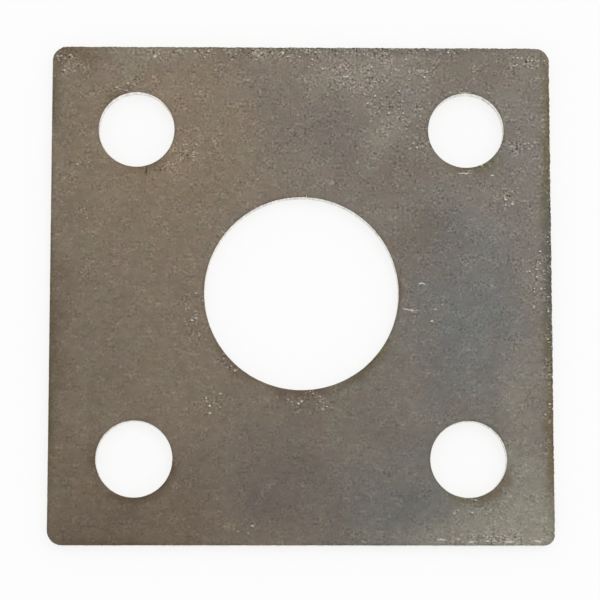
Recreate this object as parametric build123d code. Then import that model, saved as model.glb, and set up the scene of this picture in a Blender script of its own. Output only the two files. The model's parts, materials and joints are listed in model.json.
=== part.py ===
from build123d import *
import os

# Square steel cover plate, cut from flat sheet as one piece. It lies flat, as it
# rests. The origin is the centre of the underside, X runs along the lower edge,
# Y runs up the left edge and Z points out of the front face. Sizes are in
# millimetres and angles in degrees.

# Sheet and outline. The lower right corner is rounded less than the other three.
plate_side = 100.0
plate_thickness = 2.5
plate_corner_radius = 3.0
lower_right_corner_radius = 2.2

# Large hole in the middle, for a tube or a neck
centre_hole_diameter = 38.5

# Fixing hole in each corner, set in by the same distance from both edges
corner_hole_diameter = 15.0
corner_hole_inset = 17.0

# Edges softened by deburring, more on the front face than on the back
front_edge_radius = 0.25
back_edge_radius = 0.15

# Vee nick left in a hole's wall where the cut ran in and closed on itself
nick_width = 0.3
nick_depth = 0.5
centre_nick_angle = 87.0
corner_nick_angle = -66.0

corner_hole_spacing = plate_side - 2 * corner_hole_inset


def to_lower_right(corner):
    """How far a corner lies towards the lower right, to sort corners by."""
    return corner.X - corner.Y


def rounded_outline():
    """Square outline, with its lower right corner rounded less than the other three."""
    outline = Rectangle(plate_side, plate_side)
    corners = outline.vertices().sort_by(to_lower_right)
    outline = fillet(corners[-1], lower_right_corner_radius)
    corners = outline.vertices().sort_by(to_lower_right)
    return fillet(corners[:3], plate_corner_radius)


def cut_blank():
    """Flat blank: the rounded outline with its holes, through the full sheet."""
    outline = rounded_outline()
    centre_hole = Circle(centre_hole_diameter / 2)
    corner_hole = Circle(corner_hole_diameter / 2)
    corner_places = GridLocations(corner_hole_spacing, corner_hole_spacing, 2, 2)
    profile = outline - centre_hole - corner_places * corner_hole
    return extrude(profile, plate_thickness)


def soften_edges(blank):
    """Rounds every edge of the front face, then every edge of the back face."""
    front_edges = blank.faces().sort_by(Axis.Z)[-1].edges()
    blank = fillet(front_edges, front_edge_radius)
    back_edges = blank.faces().sort_by(Axis.Z)[0].edges()
    return fillet(back_edges, back_edge_radius)


def nick(hole_place, hole_diameter, angle):
    """Cutter for one vee nick, as wide as nick_width where it meets the hole's wall."""
    vee = Polygon(
        (-nick_depth, -nick_width),
        (nick_depth, 0),
        (-nick_depth, nick_width),
        align=None,
    )
    on_wall = Pos(*hole_place) * Rot(Z=angle) * Pos(hole_diameter / 2, 0)
    return extrude(on_wall * vee, plate_thickness)


def cover_plate():
    """The finished plate. Its front top-right corner hole is the one with a nick."""
    top_right = (corner_hole_spacing / 2, corner_hole_spacing / 2)
    plate = soften_edges(cut_blank())
    plate -= nick((0, 0), centre_hole_diameter, centre_nick_angle)
    plate -= nick(top_right, corner_hole_diameter, corner_nick_angle)
    return plate


os.makedirs("parts", exist_ok=True)
export_step(cover_plate(), "parts/cover_plate.step")
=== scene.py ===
"""Looks of the square cover plate, laid out as a Blender add-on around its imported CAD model.

The plate is cut by laser from pickled steel sheet. Its piece follows the CAD plate's outline,
holes and softened rims, and adds the fine ripple that the cut leaves in every wall.
"""

import json
import math

import bpy
from bpy.props import FloatProperty, FloatVectorProperty, IntProperty, PointerProperty
from mathutils import Matrix, Vector, geometry, noise


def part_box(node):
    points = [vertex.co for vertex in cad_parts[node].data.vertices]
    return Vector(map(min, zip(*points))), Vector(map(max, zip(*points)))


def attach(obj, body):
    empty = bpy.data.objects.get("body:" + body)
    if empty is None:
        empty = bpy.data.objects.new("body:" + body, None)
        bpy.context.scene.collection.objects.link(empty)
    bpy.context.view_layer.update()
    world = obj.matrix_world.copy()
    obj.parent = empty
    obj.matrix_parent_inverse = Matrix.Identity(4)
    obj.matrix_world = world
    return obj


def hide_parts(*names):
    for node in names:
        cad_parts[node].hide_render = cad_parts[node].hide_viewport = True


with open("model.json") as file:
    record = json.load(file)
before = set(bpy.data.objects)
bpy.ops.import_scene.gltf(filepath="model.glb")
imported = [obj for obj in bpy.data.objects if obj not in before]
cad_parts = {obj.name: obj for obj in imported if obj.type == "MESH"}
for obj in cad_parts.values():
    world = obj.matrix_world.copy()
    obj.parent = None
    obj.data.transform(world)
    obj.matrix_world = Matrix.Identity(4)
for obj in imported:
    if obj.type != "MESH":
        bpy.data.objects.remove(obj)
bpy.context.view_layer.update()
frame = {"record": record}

bl_info = {
    "name": "Square Cover Plate",
    "version": (1, 0, 0),
    "blender": (4, 5, 0),
    "location": "3D View > Sidebar > Cover Plate",
    "description": "Dresses the packed cover plate as stained, laser-cut steel sheet",
    "category": "Object",
}

MM = 0.001
NODE = "cover_plate"

plate_low, plate_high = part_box(NODE)
mounts = {mount["name"]: mount["dims"] for mount in frame["record"]["mounts"]}


def linear(hex_colour):
    """Turns an sRGB hex colour into the linear RGBA that the shaders take."""
    channels = [int(hex_colour[i : i + 2], 16) / 255 for i in (1, 3, 5)]
    return [
        c / 12.92 if c <= 0.04045 else ((c + 0.055) / 1.055) ** 2.4 for c in channels
    ] + [1.0]


# Marks on the front face. Each row starts with the middle, the half length, the half width
# and the turn of an ellipse, in millimetres and degrees, and with how strong the mark is.

# Then the colour of the film.
STAINS = (
    (-31, 26, 26, 24, 0, 0.52, "straw"),
    (-46, 48, 9, 6, 0, 0.5, "brown"),
    (-36, -45, 34, 20, 0, 0.45, "brown"),
    (-47, -38, 14, 28, 0, 0.12, "straw"),
    (-50, -12, 7, 34, 0, 0.4, "brown"),
    (3, 33, 30, 11, -45, 0.45, "plum"),
    (26, 9, 12, 9, 0, 0.5, "brown"),
    (-30, 48, 14, 6, 0, 0.3, "pale"),
    (12, 47, 22, 8, 0, 0.25, "pale"),
    (17, 32, 10, 7, 30, 0.3, "pale"),
    (42, 30, 14, 16, 0, 0.3, "slate"),
    (36, 46, 30, 14, -10, 0.22, "brown"),
    (20, 24, 20, 10, 45, 0.15, "brown"),
    (24, 0, 7, 12, 0, 0.35, "plum"),
    (30, 25, 26, 26, 0, 0.14, "brown"),
    (27, -20, 9, 8, 0, 0.35, "slate"),
    (0, -24, 11, 6, 0, 0.3, "brown"),
    (33, -3, 18, 32, 0, 0.95, "slate"),
    (20, -42, 22, 18, 0, 0.65, "slate"),
    (24, -33, 8, 5, 0, 0.2, "olive"),
    (-4, -38, 22, 18, 0, 0.65, "plum"),
    # The next three marks lighten the lower right corner. Their tints are the film's, and the
    # extra lightness they give is painted sheen
    (45, -45, 22, 18, 0, 0.95, "sage"),
    (32, -50, 26, 8, 0, 0.8, "pale"),
    (42, -49, 12, 3, 0, 0.6, "pale"),
    (45, -22, 8, 20, 0, 0.3, "sage"),
)

# Then the colour that the cut's heat left on the face beside it.
HEAT_TINTS = (
    (50, 32, 24, 8, 90, 0.9, "olive"),
    (50, 6, 24, 9, 90, 0.8, "soot"),
    (50, -12, 9, 6, 90, 0.7, "olive"),
    (50, -28, 16, 5, 90, 0.5, "rust"),
    (50, -30, 20, 5, 90, 0.5, "olive"),
    (-50, -15, 34, 3, 90, 0.6, "olive"),
    (-50, 40, 10, 6, 90, 0.6, "olive"),
    (-47, 48, 4, 4, 0, 0.9, "brown"),
    (8, 50, 40, 5, 0, 0.4, "soot"),
    (-38, -50, 18, 4, 0, 0.5, "brown"),
    (-37, 40, 5, 3, 45, 0.5, "brown"),
    (-31, 26, 6, 3, 0, 0.5, "brown"),
    (-27, -37, 8, 5, 60, 0.7, "brown"),
    (-34, -41, 8, 3, 0, 0.8, "brown"),
    (-41, -33, 5, 3, 90, 0.6, "brown"),
    (39, -39, 8, 4, 45, 0.7, "brown"),
    (33, -41, 6, 3, 0, 0.6, "olive"),
    (35, 25, 9, 4, 15, 0.7, "olive"),
    (13, -14, 10, 4, 42, 0.8, "olive"),
    (0, -20, 12, 4, 0, 0.7, "brown"),
    (-14, -14, 9, 3, -45, 0.5, "brown"),
    (19, 2, 6, 3, 90, 0.4, "brown"),
)

# Here the strength is how thickly specks and pits lie, where 1 is a full cluster.
CLUSTERS = (
    (-2, 49.4, 40, 2.6, 0, 1.4),
    (12, 45, 18, 7, 0, 0.5),
    (-47, 47, 3.5, 4.5, 30, 0.9),
    (45.5, 47, 5.5, 2.2, -15, 1.0),
    (38, -49, 15, 3, 0, 0.9),
    (10, -49, 6, 2, 0, 0.4),
    (47.5, 3, 3.5, 9, 0, 0.8),
    (49.3, -14, 1.6, 30, 0, 0.7),
    (44, 29.5, 4.5, 3.5, 0, 0.6),
    (41.5, 19, 4.5, 3.5, 0, 0.9),
    (24, 44.5, 5, 3, 0, 0.6),
    (20, 36, 11, 6, -50, 0.5),
    (12.5, 41.5, 7, 3, 0, 0.5),
    (-35.5, 41.5, 6, 2.2, 15, 0.8),
    (-23.5, 28.5, 5.5, 3, -20, 0.8),
    (-26, 26, 4, 2, 30, 0.6),
    (-46, 24.5, 4, 4, 0, 0.4),
    (-44, 16, 4, 3, 0, 0.3),
    (-41.5, 6.5, 4, 4, 0, 0.3),
    (-21, -5, 6, 12, 20, 0.3),
    (-14.5, -14.5, 5, 1.6, -45, 0.8),
    (-18, -22, 5, 3, 20, 0.6),
    (1, -22, 8, 3.2, 0, 0.9),
    (24, -3, 5, 7, 0, 0.3),
    (38, -42, 14, 9, 0, 0.2),
    # The next two rows lie on the top and right edges, where their bright specks are painted
    # highlights on the cut's burrs
    (12, 49.8, 36, 1.3, 0, 1.6),
    (49.8, 14, 1.0, 36, 0, 1.0),
    (-12, -47, 5, 3, 0, 0.3),
)

# Fine lines rubbed bright, and one cut dark.
BRIGHT_SCRATCHES = (
    (32.9, 40.7, 1.6, 0.2, 0, 0.45),
    (32.7, 24.3, 2.0, 0.18, 0, 0.65),
    (38.2, 23.9, 0.5, 0.25, 0, 0.85),
    (21.4, -3.3, 1.8, 0.18, -12, 0.7),
    (24.0, 2.0, 1.0, 0.2, 0, 0.7),
    (27.5, -48.8, 1.2, 0.25, -4, 0.6),
    (33.5, -49.2, 1.1, 0.2, 6, 0.6),
    (41.0, -49.2, 1.4, 0.25, 0, 0.6),
    (46.5, -49.1, 1.2, 0.22, -5, 0.6),
)
DARK_SCRATCHES = ((-31.0, 24.8, 1.9, 0.4, 90, 0.9),)

# Patterns of the face, by the distance across one lump in millimetres. The real grain is near
# 0.1 mm, too fine to show from where the camera stands, so the finest here is coarser.
FINE_GRAIN = 0.5
SCUFFS = 1.1
MOTTLE = 1.3
WORN_PATCHES = 2.6
HUE_PATCHES = 3.0
OXIDE_PATCHES = 5.0
CLOUDS = 6.0

# How noise leads a mark astray from its ellipse: the distance across one lump, and the whole
# swing from one side to the other.
STAIN_WANDER = (14.0, 16.0)
CLUSTER_WANDER = (3.0, 3.0)
SPECK_WANDER = (0.5, 0.5)

# Specks and pits: the height of the cell that holds one, their mean radii, the least radius as
# a share of the mean, how much all this is stretched along X, and how far the pits are shifted
# from the specks, so that the pits' dark lies beside the specks as painted shade.
SPECK_CELL = 0.5
SPECK_RADIUS = 0.22
PIT_RADIUS = 0.26
SPECK_LEAST = 0.5
SPECK_STRETCH = 1.4
PIT_SHIFT = (0.12, 0.2, 0)

# A speck's strength lies between faint and bright, by a random draw raised to this power, so
# that few are bright. It is full over the core's share of the radius, and it comes in while the
# density passes another draw by this much.
FAINT_SPECK = 0.16
BRIGHT_SPECK = 0.81
SPECK_RARITY = 4.0
SPECK_CORE = 0.3
SPECK_FADE = 0.05

# Share of the cells that hold a speck away from the clusters, at the two ends of its slope, and
# the shares that a full cluster adds.
SPARSE_SPECKS = (0.006, 0.03)
CLUSTER_SPECKS = 0.6
CLUSTER_PITS = 0.7

# Some things change from the lower left to the upper right. Specks and grain do between two
# values of Y plus this share of X, and a painted sheen, which lightens the face towards the
# upper right, does between two values of X plus Y.
SLOPE_LEAN = 0.5
SPECK_SLOPE = (-40.0, 60.0)
GRAIN_SLOPE = (-30.0, 55.0)
FILM_SLOPE = (-100.0, 100.0)
FILM_LIGHT = (0.76, 1.12)

# The film turns from warm to cool between these two values of X.
COOLING = (-25.0, 25.0)

# Strength of the grain at the two ends of its slope, the factor on it from the least worn
# patches to the most worn ones, and what a full cluster adds.
GRAIN_ON_SLOPE = (0.95, 1.6)
GRAIN_IN_PATCHES = (0.3, 1.6)
GRAIN_IN_CLUSTERS = 1.9

# How much the patterns change the light. The swings go from the darkest place to the lightest,
# and the other two are the most that a scuff adds and that the rim's dark line takes away.
HUE_SWING = 0.14
MOTTLE_SWING = 0.6
CLOUD_SWING = 0.3
BAND_SWING = 0.4
SCUFF_LIGHT = 0.14
RIM_LINE_DARK = 0.2

# How far from its middle value a noise still makes a scuff, and where mottle lets it show.
SCUFF_WIDTH = 0.05
SCUFFED = (0.45, 0.6)

# Noise runs from 0 to 1 and seldom nears its ends, so it is stretched from one of two ranges.
NOISE_MIDDLE = 0.5
MIDDLE = (0.35, 0.65)
WIDE = (0.3, 0.7)

# Where the oxide beside a cut starts to fade and where it ends, how far worn patches and oxide
# patches swing those places, and where the dark line along the rim fades and ends.
OXIDE_REACH = (0.4, 2.8)
OXIDE_PUSHES = (2.4, 2.0)
RIM_LINE_REACH = (0.3, 0.8)

# Share of its radius over which a heat tint or a bright scratch keeps its full strength.
MARK_CORE = 0.3

# Roughness from the glossiest place to the dullest, and how much glossier rubbed metal is.
FACE_ROUGHNESS = (0.42, 0.56)
WALL_ROUGHNESS = (0.3, 0.45)
RUBBED_GLOSS = 0.15

# Patterns of the cut walls. Real drag lines are near 0.2 mm apart, too fine to show from where
# the camera stands, so these are coarser.
DRAG_LINES = 0.4
DRAG_BANDS = 1.6
WALL_PATCHES = 7.0

# Light of the drag lines at the darkest, and how much is added up to the lightest.
DRAG_LIGHT = (0.42, 1.2)

# A wall browns from the first share of the thickness down to the second, and bands lower that
# by up to a third share. Then how brown it is below, what patches add at most, and between
# which values of their noise they come in.
BROWNED_FROM = (0.6, 0.2)
BAND_LIFT = 0.4
BROWN_BELOW = 0.6
BROWN_IN_PATCHES = 0.3
PATCH_RANGE = (0.45, 0.7)

# Height that a noise of full swing gives a surface, and the shares of mottle and fine grain.
RELIEF = 0.03 * MM
MOTTLE_RELIEF = 0.9
FINE_RELIEF = 0.5

# The cut's ripple changes down a wall by this many cells of its noise for each millimetre. Its
# depth is a mean and two swings, one by each drag line and one by waves whose cells are some
# times larger. It never falls below the least, so the plate stays within its CAD outline.
RIPPLE_DRIFT = 0.15
RIPPLE_LEAST = 0.05
RIPPLE_MEAN = 0.5
RIPPLE_BY_LINE = 0.6
RIPPLE_BY_WAVE = 0.4
WAVE_CELLS = 6

# How much of the floor's look is plain white; the rest shows the shadow.
GLOW_SHARE = 0.7

WHITE = (1, 1, 1, 1)
CARD_ROUGHNESS = 0.5

# The camera's sensor in millimetres, and the nearest that it sees in metres.
SENSOR_WIDTH = 36.0
CLIP_START = 0.01

# Settings of the triangulation that fills a face: only inside its rims, and with points nearer
# than this taken as one.
INSIDE_ONLY = 1
MERGE_DISTANCE = 1e-7

SMOOTH = {"interpolation_type": "SMOOTHSTEP"}


# Properties


def length(name, description, default):
    return FloatProperty(
        name=name, description=description, default=default, unit="LENGTH", precision=5
    )


def angle(name, description, degrees):
    return FloatProperty(
        name=name, description=description, default=math.radians(degrees), unit="ROTATION"
    )


def colour(name, description, hex_colour):
    return FloatVectorProperty(
        name=name,
        description=description,
        default=linear(hex_colour),
        size=4,
        min=0.0,
        max=1.0,
        subtype="COLOR",
    )


class CoverPlateSizes(bpy.types.PropertyGroup):
    """Sizes of the plate and of the marks that cutting leaves in its walls."""

    side: length("Side", "Length of each side", plate_high.x - plate_low.x)
    thickness: length("Thickness", "Sheet thickness", plate_high.z - plate_low.z)
    corner_radius: length(
        "Corner Radius", "Radius of three of the outline's corners", 3 * MM
    )
    lower_right_corner_radius: length(
        "Lower Right Corner Radius", "Radius of the outline's tightest corner", 2.2 * MM
    )
    centre_hole_radius: length(
        "Centre Hole Radius",
        "Radius of the large hole",
        mounts["centre_hole"]["r_mm"] * MM,
    )
    corner_hole_radius: length(
        "Corner Hole Radius",
        "Radius of each fixing hole",
        mounts["corner_holes"]["hole_r_mm"] * MM,
    )
    corner_hole_spacing: length(
        "Corner Hole Spacing",
        "Distance between neighbouring fixing holes",
        mounts["corner_holes"]["spacing_x_mm"] * MM,
    )
    front_edge_radius: length(
        "Front Edge Radius", "Softening of the front face's edges", 0.25 * MM
    )
    back_edge_radius: length(
        "Back Edge Radius", "Softening of the back face's edges", 0.15 * MM
    )
    nick_width: length(
        "Nick Width", "Width of a run-in nick where it meets the wall", 0.3 * MM
    )
    nick_depth: length("Nick Depth", "Depth of a run-in nick", 0.5 * MM)
    centre_nick_angle: angle("Centre Nick Angle", "The nick's place round its hole", 87)
    corner_nick_angle: angle("Corner Nick Angle", "The nick's place round its hole", -66)
    ripple_cell: length(
        "Ripple Cell",
        "Cell of the ripple's noise; drag lines come out half as far apart again",
        0.55 * MM,
    )
    ripple_depth: length(
        "Ripple Depth", "Depth of the drag lines on the clean sides", 0.03 * MM
    )
    rough_ripple_depth: length(
        "Rough Ripple Depth", "Depth of the drag lines on the rough sides", 0.16 * MM
    )
    drag: length(
        "Drag", "How far the lines trail from the front face to the back", 0.6 * MM
    )
    contour_step: length("Contour Step", "Distance between contour points", 0.15 * MM)
    face_step: length("Face Step", "Distance between points inside a face", 2.5 * MM)
    rim_steps: IntProperty(
        name="Rim Steps", description="Facets round each softened edge", default=4
    )
    wall_steps: IntProperty(
        name="Wall Steps", description="Bands down each cut wall", default=6
    )


class CoverPlateColours(bpy.types.PropertyGroup):
    """Colours of the steel, of what stains it, and of specks and pits that are partly painted
    glints and shade.
    """

    warm: colour("Warm Steel", "Left side of the face", "#817567")
    cool: colour("Cool Steel", "Right side of the face", "#78726A")
    straw: colour("Straw", "Film where it has yellowed", "#897962")
    brown: colour("Brown", "Film where it has browned", "#68594B")
    plum: colour("Plum", "Thin purplish film", "#6D645F")
    slate: colour("Slate", "Film where it is freshest", "#6F6F6D")
    pale: colour("Pale", "Film rubbed thin", "#928D82")
    sage: colour("Sage", "Film with a greenish cast", "#8F8D7F")
    olive: colour("Olive", "Thin oxide along the cut", "#655E49")
    soot: colour("Soot", "Dark grey oxide along the rough cut", "#58564C")
    rust: colour("Rust", "Orange-brown oxide along the cut", "#74593A")
    # Bright specks and scratches: partly rubbed-through metal and partly painted glints
    bare: colour("Bare Steel", "Specks rubbed through to bright metal", "#D6D2C8")
    # Dark of the pits beside the bright specks: partly pitting and partly painted shade
    pit: colour("Pit", "Bottoms of the pits", "#453D34")
    wall: colour("Cut Wall", "Bright metal of the cut walls", "#E9E6E0")
    wall_low: colour("Low Wall", "Oxide where the cut leaves the sheet", "#C8C0B4")
    floor: colour("Floor", "Plain floor under the plate", "#F5F5F5")


class CoverPlateStage(bpy.types.PropertyGroup):
    """The camera's place and the strength of the light."""

    lens: FloatProperty(
        name="Lens",
        description="Focal length in millimetres",
        default=150.0,
        unit="CAMERA",
    )
    camera_height: length("Camera Height", "Above the front face", 492.5 * MM)
    camera_across: length("Camera Across", "To the plate's right", -10.15 * MM)
    camera_along: length("Camera Along", "Towards the plate's top", -64.9 * MM)
    aim_across: length("Aim Across", "Aimed at, to the right", -0.29 * MM)
    aim_along: length("Aim Along", "Aimed at, towards the top", -1.37 * MM)
    world_strength: FloatProperty(
        name="World Strength", description="Even light from all round", default=1.0
    )
    key_power: FloatProperty(
        name="Key Power",
        description="Large soft lamp at the upper right",
        default=2.5,
        unit="POWER",
    )
    key_size: length("Key Size", "Distance across the lamp", 1.0)
    key_across: length("Key Across", "To the plate's right", 0.5)
    key_along: length("Key Along", "Towards the plate's top", 0.8)
    key_height: length("Key Height", "Above the floor", 1.5)
    floor_reach: length("Floor Reach", "From the plate to each side of the floor", 3.0)
    floor_gap: length("Floor Gap", "Between the floor and the plate", 0.02 * MM)


# Contours, in millimetres. A contour is a list of points, each with its place and with the
# direction that leads from the wall into the steel.


def even_steps(total, step):
    count = max(3, round(total / step))
    return [total * i / count for i in range(count)]


def outline_contour(side, radii, step):
    """The plate's outline, anticlockwise from the lower edge; one radius for each corner."""
    points = []
    for turn, radius in enumerate(radii):
        start_inset, inner = radii[turn - 1], side / 2 - radius
        heading = Matrix.Rotation(turn * math.pi / 2, 2)
        for along in even_steps(side - start_inset - radius, step):
            place = Vector((start_inset - side / 2 + along, -side / 2))
            points.append((heading @ place, heading @ Vector((0, 1))))
        for along in even_steps(radius * math.pi / 2, step):
            bearing = along / radius - math.pi / 2
            outward = Vector((math.cos(bearing), math.sin(bearing)))
            place = Vector((inner, -inner)) + radius * outward
            points.append((heading @ place, heading @ -outward))
    return points


def hole_contour(centre, radius, step, nick_angle=None, nick_width=0, nick_depth=0):
    """A round hole, with a vee nick cut into its wall if it is given an angle."""
    bearings = [along / radius for along in even_steps(2 * math.pi * radius, step)]
    half_width = nick_width / 2 / radius
    if nick_angle is not None:
        nick_angle %= 2 * math.pi
        bearings += [nick_angle + half_width * share for share in (-1, -0.5, 0, 0.5, 1)]
        bearings.sort()
    points = []
    for bearing in bearings:
        outward = Vector((math.cos(bearing), math.sin(bearing)))
        depth = 0
        if nick_angle is not None:
            depth = nick_depth * max(0, 1 - abs(bearing - nick_angle) / half_width)
        points.append((Vector(centre) + (radius + depth) * outward, outward))
    return points


def wall_profile(sizes):
    """Rings from the front face down to the back one: inset from the wall and height."""
    front, back = sizes.front_edge_radius / MM, sizes.back_edge_radius / MM
    top = sizes.thickness / MM
    turns = [math.pi / 2 * i / sizes.rim_steps for i in range(sizes.rim_steps + 1)]
    rings = [(front * (1 - math.sin(a)), top - front * (1 - math.cos(a))) for a in turns]
    span = top - front - back
    for i in range(1, sizes.wall_steps):
        rings.append((0, top - front - span * i / sizes.wall_steps))
    rings += [(back * (1 - math.cos(a)), back * (1 - math.sin(a))) for a in turns]
    return rings


def ripple(place, inward, height, sizes, depth):
    """How far the cut's drag lines go into the steel at one point of a wall."""
    cell = sizes.ripple_cell / MM
    trail = (1 - height * MM / sizes.thickness) ** 2 * sizes.drag / MM
    tangent = Vector((-inward.y, inward.x))
    shifted = (place + tangent * trail) / cell
    lines = noise.noise(Vector((shifted.x, shifted.y, height * RIPPLE_DRIFT)))
    waves = noise.noise(Vector((place.x, place.y, 0)) / (WAVE_CELLS * cell))
    swing = RIPPLE_BY_LINE * lines + RIPPLE_BY_WAVE * waves
    return depth * max(RIPPLE_LEAST, RIPPLE_MEAN + swing)


def side_roughness(inward, sizes):
    """The top and right sides of the outline were cut more roughly than the others."""
    rough = max(0.0, -inward.x, -inward.y)
    low, high = sizes.ripple_depth / MM, sizes.rough_ripple_depth / MM
    return low + (high - low) * rough


def plate_contours(sizes):
    """The outline first, then the centre hole, then the four corner holes."""
    step = sizes.contour_step / MM
    offset = sizes.corner_hole_spacing / 2 / MM
    nick = (sizes.nick_width / MM, sizes.nick_depth / MM)
    small = sizes.corner_hole_radius / MM
    radii = [sizes.lower_right_corner_radius / MM] + [sizes.corner_radius / MM] * 3
    contours = [
        outline_contour(sizes.side / MM, radii, step),
        hole_contour(
            (0, 0), sizes.centre_hole_radius / MM, step, sizes.centre_nick_angle, *nick
        ),
        hole_contour((offset, offset), small, step, sizes.corner_nick_angle, *nick),
    ]
    for across, along in ((-1, 1), (-1, -1), (1, -1)):
        contours.append(hole_contour((across * offset, along * offset), small, step))
    return contours


def face_points(sizes):
    """A grid of points that lie in the steel, clear of every rim."""
    half = sizes.side / 2 / MM
    offset = sizes.corner_hole_spacing / 2 / MM
    step = sizes.face_step / MM
    count = int(2 * half / step)
    points = []
    for i in range(1, count):
        for j in range(1, count):
            place = Vector((i * step - half, j * step - half))
            corner = Vector((abs(place.x) - offset, abs(place.y) - offset))
            clear = min(
                half - max(abs(place.x), abs(place.y)),
                place.length - sizes.centre_hole_radius / MM,
                corner.length - sizes.corner_hole_radius / MM,
            )
            if clear > step / 2:
                points.append(place)
    return points


def lies_in_hole(corners, rim_spots):
    """Whether a triangle joins three points of one hole's rim the way the rim runs."""
    spots = [rim_spots.get(corner) for corner in corners]
    if None in spots or len({ring for ring, _ in spots}) > 1:
        return False
    a, b, c = (spot for _, spot in spots)
    return a < b < c or b < c < a or c < a < b


def cap_faces(vertices, rings, inside, height, upward):
    """Fills one face of the plate between its rims, adding the inside points."""
    first = len(vertices)
    vertices += [Vector((p.x, p.y, height)) for p in inside]
    own = [i for ring in rings for i in ring] + list(range(first, len(vertices)))
    place_of = {vertex: i for i, vertex in enumerate(own)}
    flat = [vertices[i].to_2d() for i in own]
    edges = [
        (place_of[a], place_of[b])
        for ring in rings
        for a, b in zip(ring, ring[1:] + ring[:1])
    ]
    rim_spots = {
        vertex: (number, spot)
        for number, ring in enumerate(rings[1:])
        for spot, vertex in enumerate(ring)
    }
    filled = geometry.delaunay_2d_cdt(flat, edges, [], INSIDE_ONLY, MERGE_DISTANCE)
    triangles, sources = filled[2:4]
    faces = []
    for triangle in triangles:
        corners = [own[sources[i][0]] for i in triangle]
        if not lies_in_hole(corners, rim_spots):
            faces.append(corners if upward else corners[::-1])
    return faces


def plate_mesh(sizes):
    """The whole plate as one closed mesh. Material 0 is the face and 1 is the cut."""
    profile = wall_profile(sizes)
    vertices, faces, materials = [], [], []
    front_rings, back_rings = [], []
    for number, contour in enumerate(plate_contours(sizes)):
        is_outline = number == 0
        rings = []
        for inset, height in profile:
            start = len(vertices)
            for place, inward in contour:
                depth = sizes.ripple_depth / MM
                if is_outline:
                    depth = side_roughness(inward, sizes)
                cut = ripple(place, inward, height, sizes, depth)
                spot = place + inward * (inset + cut)
                vertices.append(Vector((spot.x, spot.y, height)))
            rings.append(list(range(start, len(vertices))))
        for level, (upper, lower) in enumerate(zip(rings, rings[1:])):
            for i in range(len(contour)):
                j = (i + 1) % len(contour)
                quad = [upper[i], lower[i], lower[j], upper[j]]
                faces.append(quad if is_outline else quad[::-1])
                materials.append(0 if level < sizes.rim_steps / 2 else 1)
        front_rings.append(rings[0])
        back_rings.append(rings[-1])
    smooth_count = len(faces)
    inside = face_points(sizes)
    top = sizes.thickness / MM
    faces += cap_faces(vertices, front_rings, inside, top, True)
    faces += cap_faces(vertices, back_rings, inside, 0, False)
    materials += [0] * (len(faces) - smooth_count)
    mesh = bpy.data.meshes.new("plate_dressed")
    mesh.from_pydata([v * MM for v in vertices], [], faces)
    mesh.polygons.foreach_set("material_index", materials)
    mesh.polygons.foreach_set("use_smooth", [i < smooth_count for i in range(len(faces))])
    mesh.validate()
    mesh.update()
    return mesh


# Materials


def add_node(tree, kind, *values, named=None, **settings):
    """Adds a node with its settings, fills its sockets in order or by name, gives its output."""
    node = tree.nodes.new("ShaderNode" + kind)
    for name, setting in settings.items():
        setattr(node, name, setting)
    sockets = [socket for socket in node.inputs if socket.enabled]
    by_name = {socket.name: socket for socket in sockets}
    filled = list(zip(sockets, values))
    filled += [(by_name[name], value) for name, value in (named or {}).items()]
    for socket, value in filled:
        if isinstance(value, bpy.types.NodeSocket):
            tree.links.new(value, socket)
        else:
            socket.default_value = value
    return next((socket for socket in node.outputs if socket.enabled), None)


def new_material(name):
    material = bpy.data.materials.new(name)
    material.use_nodes = True
    material.node_tree.nodes.clear()
    return material, material.node_tree


def millimetres(tree):
    """The place on the plate, in millimetres from the centre of its underside."""
    place = add_node(tree, "TexCoord").node.outputs["Object"]
    return add_node(tree, "VectorMath", place, 1 / MM, operation="SCALE")


def grain(tree, place, size, stretch=(1, 1, 1), seed=0.0, detail=2.0, roughness=0.5):
    """Noise from 0 to 1. Its lumps are about size millimetres across, divided by stretch."""
    spread = [share / size for share in stretch]
    lumps = add_node(tree, "VectorMath", place, spread, [seed] * 3, operation="MULTIPLY_ADD")
    return add_node(
        tree,
        "TexNoise",
        named={"Vector": lumps, "Scale": 1.0, "Detail": detail, "Roughness": roughness},
    )


def strayed(tree, flat, lump, reach):
    """The place, led astray by lumps of noise so that an ellipse becomes a blotch."""
    lumps = add_node(
        tree,
        "TexNoise",
        named={"Vector": flat, "Scale": 1 / lump, "Detail": 2.0},
        noise_dimensions="2D",
    ).node.outputs["Color"]
    middle = [NOISE_MIDDLE] * 3
    centred = add_node(tree, "VectorMath", lumps, middle, operation="SUBTRACT")
    return add_node(
        tree, "VectorMath", centred, (reach, reach, 0), flat, operation="MULTIPLY_ADD"
    )


def spot(tree, flat, x, y, half_length, half_width, turn, strength, core=0.0):
    """The strength at the middle of a turned ellipse, falling to 0 at its rim."""
    local = add_node(
        tree,
        "Mapping",
        flat,
        (x, y, 0),
        (0, 0, math.radians(turn)),
        (half_length, half_width, 1),
        vector_type="TEXTURE",
    )
    ball = add_node(tree, "TexGradient", local, gradient_type="SPHERICAL").node
    return add_node(
        tree, "MapRange", ball.outputs["Fac"], 0.0, 1.0 - core, 0.0, strength, **SMOOTH
    )


def largest(tree, values):
    """The greatest of some values, joined one by one as they are made, so that few are held."""
    top = 0.0
    for value in values:
        top = add_node(tree, "Math", top, value, operation="MAXIMUM")
    return top


def swung(tree, light, swing, noise_value):
    """Light, made up to half the swing lighter or darker by the noise."""
    factor = add_node(
        tree, "Math", noise_value, swing, 1 - swing / 2, operation="MULTIPLY_ADD"
    )
    return add_node(tree, "Math", light, factor, operation="MULTIPLY")


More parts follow.
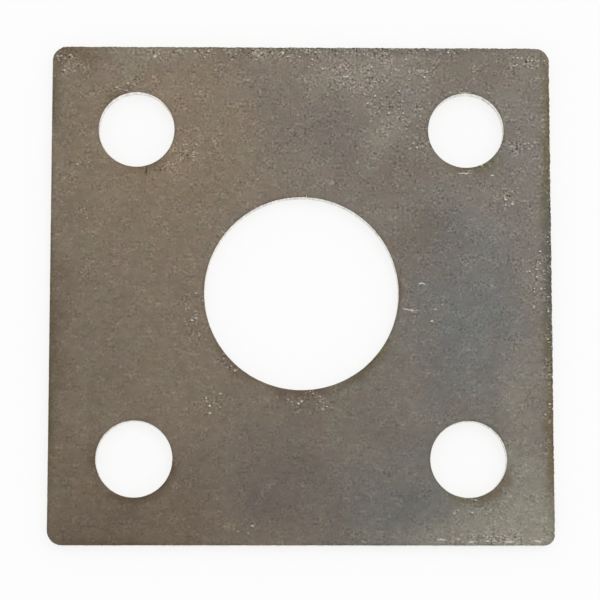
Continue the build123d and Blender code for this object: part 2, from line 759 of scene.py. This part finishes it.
def speckles(tree, flat, density, radius):
    """Small marks, at most one in each cell, where density beats the cell's own draw."""
    spread = (1 / SPECK_STRETCH / SPECK_CELL, 1 / SPECK_CELL, 0)
    scaled = add_node(tree, "VectorMath", flat, spread, operation="MULTIPLY")
    cells = add_node(
        tree,
        "TexVoronoi",
        named={"Vector": scaled, "Scale": 1.0},
        voronoi_dimensions="2D",
    ).node.outputs
    draws = add_node(tree, "SeparateColor", cells["Color"]).node.outputs
    lead = add_node(tree, "Math", density, draws[0], operation="SUBTRACT")
    chosen = add_node(tree, "MapRange", lead, 0.0, SPECK_FADE, 0.0, 1.0, **SMOOTH)
    full = radius / SPECK_CELL
    least = SPECK_LEAST * full
    reach = add_node(tree, "Math", draws[2], full, least, operation="MULTIPLY_ADD")
    away = add_node(tree, "Math", cells["Distance"], reach, operation="DIVIDE")
    body = add_node(tree, "MapRange", away, SPECK_CORE, 1.0, 1.0, 0.0, **SMOOTH)
    rare = add_node(tree, "Math", draws[1], SPECK_RARITY, operation="POWER")
    span = BRIGHT_SPECK - FAINT_SPECK
    strength = add_node(tree, "Math", rare, span, FAINT_SPECK, operation="MULTIPLY_ADD")
    marks = add_node(tree, "Math", chosen, body, operation="MULTIPLY")
    return add_node(tree, "Math", marks, strength, operation="MULTIPLY")


def rim_distance(tree, flat, sizes):
    """Distance in millimetres from the nearest cut edge, over the plate's face."""
    folded = add_node(tree, "VectorMath", flat, operation="ABSOLUTE")
    axes = add_node(tree, "SeparateXYZ", folded).node.outputs
    reach = add_node(tree, "Math", axes["X"], axes["Y"], operation="MAXIMUM")
    nearest = add_node(tree, "Math", sizes.side / 2 / MM, reach, operation="SUBTRACT")
    offset = sizes.corner_hole_spacing / 2 / MM
    for centre, radius in (
        ((0, 0, 0), sizes.centre_hole_radius),
        ((offset, offset, 0), sizes.corner_hole_radius),
    ):
        away = add_node(tree, "VectorMath", folded, centre, operation="DISTANCE")
        to_hole = add_node(tree, "Math", away, radius / MM, operation="SUBTRACT")
        nearest = add_node(tree, "Math", nearest, to_hole, operation="MINIMUM")
    return nearest


def film(tree, flat, colours):
    """Film left by pickling: warm on the left, cooler on the right, with blotchy stains."""
    across = add_node(tree, "SeparateXYZ", flat)
    cooled = add_node(tree, "MapRange", across, *COOLING, 0.0, 1.0, **SMOOTH)
    colour_now = add_node(
        tree, "Mix", cooled, colours.warm, colours.cool, data_type="RGBA"
    )
    blotched = strayed(tree, flat, *STAIN_WANDER)
    for *ellipse, tint in STAINS:
        share = spot(tree, blotched, *ellipse)
        colour_now = add_node(
            tree, "Mix", share, colour_now, getattr(colours, tint), data_type="RGBA"
        )
    return colour_now


def oxide(tree, near, rim, worn, patches, colour_now, colours):
    """Thin oxide that the cut's heat left beside it, as a ragged band in several tints."""
    ragged = rim
    for lumps, reach in zip((worn, patches), OXIDE_PUSHES):
        centred = add_node(tree, "Math", lumps, NOISE_MIDDLE, operation="SUBTRACT")
        ragged = add_node(tree, "Math", centred, reach, ragged, operation="MULTIPLY_ADD")
    beside = add_node(tree, "MapRange", ragged, *OXIDE_REACH, 1.0, 0.0, **SMOOTH)
    for *ellipse, tint in HEAT_TINTS:
        tinted = spot(tree, near, *ellipse, core=MARK_CORE)
        share = add_node(tree, "Math", tinted, beside, operation="MULTIPLY")
        colour_now = add_node(
            tree, "Mix", share, colour_now, getattr(colours, tint), data_type="RGBA"
        )
    return colour_now


def face_light(tree, place, flat, mottle, rougher):
    """How light the rolled surface is, and its finest grain: with mottle, clouds and scuffs."""
    fine = grain(tree, place, FINE_GRAIN, roughness=0.6)
    centred = add_node(tree, "Math", fine, NOISE_MIDDLE, operation="SUBTRACT")
    light = add_node(tree, "Math", centred, rougher, 1.0, operation="MULTIPLY_ADD")
    light = swung(tree, light, MOTTLE_SWING, mottle)
    light = swung(tree, light, CLOUD_SWING, grain(tree, place, CLOUDS, seed=9.0))
    # A worm-like scuff runs where a lump of noise passes its middle value
    worms = grain(tree, flat, SCUFFS, stretch=(0.7, 1, 1), seed=14.0, detail=1.0)
    centred = add_node(tree, "Math", worms, NOISE_MIDDLE, operation="SUBTRACT")
    ridge = add_node(tree, "Math", centred, operation="ABSOLUTE")
    scuffs = add_node(tree, "MapRange", ridge, 0.0, SCUFF_WIDTH, 1.0, 0.0, **SMOOTH)
    scuffs = add_node(tree, "Math", scuffs, rougher, operation="MULTIPLY")
    broken = add_node(tree, "MapRange", mottle, *SCUFFED, 0.0, SCUFF_LIGHT, **SMOOTH)
    scuffs = add_node(tree, "Math", scuffs, broken, operation="MULTIPLY")
    light = add_node(tree, "Math", scuffs, light, light, operation="MULTIPLY_ADD")
    return light, fine


def worn_marks(tree, flat, near, slope):
    """How thick the marks lie, where metal is rubbed bright with painted glints among the
    specks, and where it is pitted and cut dark with painted shade in the pits.
    """
    thick = largest(tree, (spot(tree, near, *row) for row in CLUSTERS))
    sparse = add_node(tree, "MapRange", slope, *SPECK_SLOPE, *SPARSE_SPECKS, **SMOOTH)
    bright_share = add_node(
        tree, "Math", thick, CLUSTER_SPECKS, sparse, operation="MULTIPLY_ADD"
    )
    pit_share = add_node(tree, "Math", thick, CLUSTER_PITS, operation="MULTIPLY")
    jagged = strayed(tree, flat, *SPECK_WANDER)
    # Bright specks: partly rubbed-through metal and partly painted glints
    specks = speckles(tree, jagged, bright_share, SPECK_RADIUS)
    # The pits are moved a little off the specks, so that their dark lies beside each speck as
    # painted shade
    shifted = add_node(tree, "VectorMath", jagged, PIT_SHIFT, operation="ADD")
    pits = speckles(tree, shifted, pit_share, PIT_RADIUS)
    lines = largest(
        tree, (spot(tree, jagged, *row, core=MARK_CORE) for row in BRIGHT_SCRATCHES)
    )
    rubbed = add_node(tree, "Math", specks, lines, operation="MAXIMUM")
    lines = largest(tree, (spot(tree, jagged, *row) for row in DARK_SCRATCHES))
    cut = add_node(tree, "Math", pits, lines, operation="MAXIMUM")
    return thick, rubbed, cut


def grain_strength(tree, slope, thick, worn):
    """Grain is stronger towards the upper right, among the specks and in worn patches."""
    rougher = add_node(tree, "MapRange", slope, *GRAIN_SLOPE, *GRAIN_ON_SLOPE, **SMOOTH)
    rougher = add_node(
        tree, "Math", thick, GRAIN_IN_CLUSTERS, rougher, operation="MULTIPLY_ADD"
    )
    by_patch = add_node(tree, "MapRange", worn, *MIDDLE, *GRAIN_IN_PATCHES, **SMOOTH)
    return add_node(tree, "Math", rougher, by_patch, operation="MULTIPLY")


def face_material(sizes, colours):
    """Hot-rolled steel sheet, pickled clean of scale and left uncoated.

    It looks like dull grey metal under a thin yellowed film, with a fine grain that is rougher
    towards the upper right, small specks and pits, and oxide beside the cuts. The specks are
    partly rubbed bright metal and partly painted glints, the pits beside them are partly painted
    shade, and a painted sheen lightens the face towards the upper right.
    """
    material, tree = new_material("pickled_sheet_steel")
    place = millimetres(tree)
    flat = add_node(tree, "VectorMath", place, (1, 1, 0), operation="MULTIPLY")
    axes = add_node(tree, "SeparateXYZ", place).node.outputs
    slope = add_node(
        tree, "Math", axes["X"], SLOPE_LEAN, axes["Y"], operation="MULTIPLY_ADD"
    )
    colour_now = film(tree, flat, colours)
    hues = grain(tree, place, HUE_PATCHES, seed=17.0).node.outputs["Color"]
    least = [1 - HUE_SWING / 2] * 3
    hues = add_node(
        tree, "VectorMath", hues, [HUE_SWING] * 3, least, operation="MULTIPLY_ADD"
    )
    colour_now = add_node(tree, "VectorMath", colour_now, hues, operation="MULTIPLY")
    near = strayed(tree, flat, *CLUSTER_WANDER)
    thick, rubbed, cut = worn_marks(tree, flat, near, slope)
    mottle = grain(tree, place, MOTTLE, stretch=(0.8, 1, 1), seed=5.0)
    worn = grain(tree, place, WORN_PATCHES, seed=31.0)
    rougher = grain_strength(tree, slope, thick, worn)
    light, fine = face_light(tree, place, flat, mottle, rougher)
    # Painted sheen: the face is made lighter towards the upper right and darker towards the
    # lower left
    across_up = add_node(tree, "Math", axes["X"], axes["Y"], operation="ADD")
    thinned = add_node(tree, "MapRange", across_up, *FILM_SLOPE, *FILM_LIGHT)
    light = add_node(tree, "Math", light, thinned, operation="MULTIPLY")

    # Oxide beside the cuts, and a dark line along the rim, here stronger and there weaker
    rim = rim_distance(tree, flat, sizes)
    patches = grain(tree, place, OXIDE_PATCHES, seed=21.0)
    colour_now = oxide(tree, near, rim, worn, patches, colour_now, colours)
    line = add_node(tree, "MapRange", rim, *RIM_LINE_REACH, -RIM_LINE_DARK, 0.0, **SMOOTH)
    here = add_node(tree, "MapRange", patches, *MIDDLE, 0.0, 1.0, **SMOOTH)
    darker = add_node(tree, "Math", line, here, 1.0, operation="MULTIPLY_ADD")
    light = add_node(tree, "Math", light, darker, operation="MULTIPLY")
    colour_now = add_node(tree, "VectorMath", colour_now, light, operation="SCALE")
    # Dark pits, partly painted shade beside the specks
    colour_now = add_node(tree, "Mix", cut, colour_now, colours.pit, data_type="RGBA")
    # Light specks and scratches, partly painted glints
    colour_now = add_node(tree, "Mix", rubbed, colour_now, colours.bare, data_type="RGBA")

    height = add_node(tree, "Math", mottle, MOTTLE_RELIEF, operation="MULTIPLY")
    height = add_node(tree, "Math", fine, FINE_RELIEF, height, operation="MULTIPLY_ADD")
    dull = add_node(tree, "MapRange", mottle, *WIDE, *FACE_ROUGHNESS, **SMOOTH)
    roughness = add_node(tree, "Math", rubbed, -RUBBED_GLOSS, dull, operation="MULTIPLY_ADD")
    finish_metal(tree, colour_now, roughness, height)
    return material


def cut_material(sizes, colours):
    """Steel as the laser leaves it.

    It looks like bright metal with fine upright drag lines, clean above and browned below.
    """
    material, tree = new_material("laser_cut_steel")
    place = millimetres(tree)
    up = add_node(tree, "SeparateXYZ", place).node.outputs["Z"]
    lines = grain(tree, place, DRAG_LINES, stretch=(1, 1, 0.1))
    bands = grain(tree, place, DRAG_BANDS, stretch=(1, 1, 0.2), seed=3.0)
    patches = grain(tree, place, WALL_PATCHES, stretch=(1, 1, 0.5), seed=8.0)
    top = sizes.thickness / MM
    level = add_node(tree, "Math", bands, BAND_LIFT * top, up, operation="MULTIPLY_ADD")
    start, full = (share * top for share in BROWNED_FROM)
    browned = add_node(tree, "MapRange", level, full, start, BROWN_BELOW, 0.0, **SMOOTH)
    blotches = add_node(
        tree, "MapRange", patches, *PATCH_RANGE, 0.0, BROWN_IN_PATCHES, **SMOOTH
    )
    browned = add_node(tree, "Math", browned, blotches, operation="ADD")
    base = add_node(
        tree, "Mix", browned, colours.wall, colours.wall_low, data_type="RGBA"
    )
    least, swing = DRAG_LIGHT
    light = add_node(tree, "Math", lines, swing, least, operation="MULTIPLY_ADD")
    light = swung(tree, light, BAND_SWING, bands)
    base = add_node(tree, "VectorMath", base, light, operation="SCALE")
    roughness = add_node(tree, "MapRange", patches, *WIDE, *WALL_ROUGHNESS, **SMOOTH)
    finish_metal(tree, base, roughness, lines)
    return material


def finish_metal(tree, colour_now, roughness, height):
    """Closes a metal's material with its colour, its gloss and the relief of its surface."""
    relief = add_node(
        tree, "Bump", named={"Strength": 1.0, "Distance": RELIEF, "Height": height}
    )
    metal = add_node(
        tree,
        "BsdfPrincipled",
        named={
            "Base Color": colour_now,
            "Metallic": 1.0,
            "Roughness": roughness,
            "Normal": relief,
        },
    )
    add_node(tree, "OutputMaterial", metal)


def shown_directly(tree):
    """1 for rays from the camera, a gloss or a clear surface, and 0 for light on the object."""
    path = add_node(tree, "LightPath").node.outputs
    seen = [path[name] for name in ("Is Camera Ray", "Is Glossy Ray", "Is Transmission Ray")]
    return largest(tree, seen)


def floor_material(colours):
    """Matt white card, which looks plain white and still takes the plate's shadow."""
    material, tree = new_material("white_card")
    matt = add_node(
        tree,
        "BsdfDiffuse",
        named={"Color": colours.floor, "Roughness": CARD_ROUGHNESS},
    )
    glow = add_node(tree, "Emission", named={"Color": WHITE, "Strength": 1.0})
    share = add_node(tree, "Math", shown_directly(tree), GLOW_SHARE, operation="MULTIPLY")
    add_node(tree, "OutputMaterial", add_node(tree, "MixShader", share, matt, glow))
    return material


# Operators


class COVERPLATE_OT_plate(bpy.types.Operator):
    """Build the dressed plate in place of the plain CAD one"""

    bl_idname = "cover_plate.build_plate"
    bl_label = "Build Plate"

    def execute(self, context):
        sizes = context.scene.cover_plate_sizes
        colours = context.scene.cover_plate_colours
        plate = bpy.data.objects.new("plate_dressed", plate_mesh(sizes))
        context.scene.collection.objects.link(plate)
        plate.data.materials.append(face_material(sizes, colours))
        plate.data.materials.append(cut_material(sizes, colours))
        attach(plate, "root")
        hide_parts(NODE)
        return {"FINISHED"}


class COVERPLATE_OT_stage(bpy.types.Operator):
    """Lay the floor and set the light and the camera"""

    bl_idname = "cover_plate.build_stage"
    bl_label = "Build Stage"

    def execute(self, context):
        scene = context.scene
        settings = scene.cover_plate_stage
        self.floor(scene, settings)
        self.world(scene, settings)
        self.lamps(scene, settings)
        self.camera(scene, settings)
        scene.view_settings.view_transform = "Standard"
        return {"FINISHED"}

    def floor(self, scene, settings):
        half = settings.floor_reach
        mesh = bpy.data.meshes.new("floor")
        corners = [(-half, -half, 0), (half, -half, 0), (half, half, 0), (-half, half, 0)]
        mesh.from_pydata(corners, [], [(0, 1, 2, 3)])
        mesh.materials.append(floor_material(scene.cover_plate_colours))
        floor = bpy.data.objects.new("floor", mesh)
        floor.location.z = plate_low.z - settings.floor_gap
        scene.collection.objects.link(floor)

    def world(self, scene, settings):
        world = bpy.data.worlds.new("studio")
        world.use_nodes = True
        tree = world.node_tree
        tree.nodes.clear()
        light = add_node(
            tree,
            "Background",
            named={"Color": WHITE, "Strength": settings.world_strength},
        )
        add_node(tree, "OutputWorld", light)
        scene.world = world

    def lamps(self, scene, settings):
        lamp = bpy.data.lights.new("key", "AREA")
        lamp.shape = "DISK"
        lamp.size = settings.key_size
        lamp.energy = settings.key_power
        key = bpy.data.objects.new("key", lamp)
        key.location = (settings.key_across, settings.key_along, settings.key_height)
        key.rotation_mode = "QUATERNION"
        key.rotation_quaternion = (-key.location).to_track_quat("-Z", "Y")
        scene.collection.objects.link(key)

    def camera(self, scene, settings):
        data = bpy.data.cameras.new("camera")
        data.lens = settings.lens
        data.sensor_width = SENSOR_WIDTH
        data.clip_start = CLIP_START
        camera = bpy.data.objects.new("camera", data)
        front = plate_high.z
        place = Vector(
            (settings.camera_across, settings.camera_along, front + settings.camera_height)
        )
        aim = Vector((settings.aim_across, settings.aim_along, front))
        camera.location = place
        backward = (place - aim).normalized()
        rightward = Vector((0, 1, 0)).cross(backward).normalized()
        turned = Matrix((rightward, backward.cross(rightward), backward)).transposed()
        camera.rotation_mode = "QUATERNION"
        camera.rotation_quaternion = turned.to_quaternion()
        scene.collection.objects.link(camera)
        scene.camera = camera


class VIEW3D_PT_cover_plate(bpy.types.Panel):
    """Lists the steps and the settings of the cover plate"""

    bl_label = "Cover Plate"
    bl_idname = "VIEW3D_PT_cover_plate"
    bl_space_type = "VIEW_3D"
    bl_region_type = "UI"
    bl_category = "Cover Plate"

    def draw(self, context):
        for operator in OPERATORS:
            self.layout.operator(operator.bl_idname)
        for group in GROUPS:
            settings = getattr(context.scene, group)
            for name in settings.__annotations__:
                self.layout.prop(settings, name)


GROUPS = {
    "cover_plate_sizes": CoverPlateSizes,
    "cover_plate_colours": CoverPlateColours,
    "cover_plate_stage": CoverPlateStage,
}
OPERATORS = (COVERPLATE_OT_plate, COVERPLATE_OT_stage)


def register():
    for cls in (*GROUPS.values(), *OPERATORS, VIEW3D_PT_cover_plate):
        bpy.utils.register_class(cls)
    for name, group in GROUPS.items():
        setattr(bpy.types.Scene, name, PointerProperty(type=group))


def unregister():
    for name in GROUPS:
        delattr(bpy.types.Scene, name)
    for cls in reversed((*GROUPS.values(), *OPERATORS, VIEW3D_PT_cover_plate)):
        bpy.utils.unregister_class(cls)


def main():
    register()
    bpy.ops.cover_plate.build_plate()
    bpy.ops.cover_plate.build_stage()


if __name__ == "__main__":
    main()
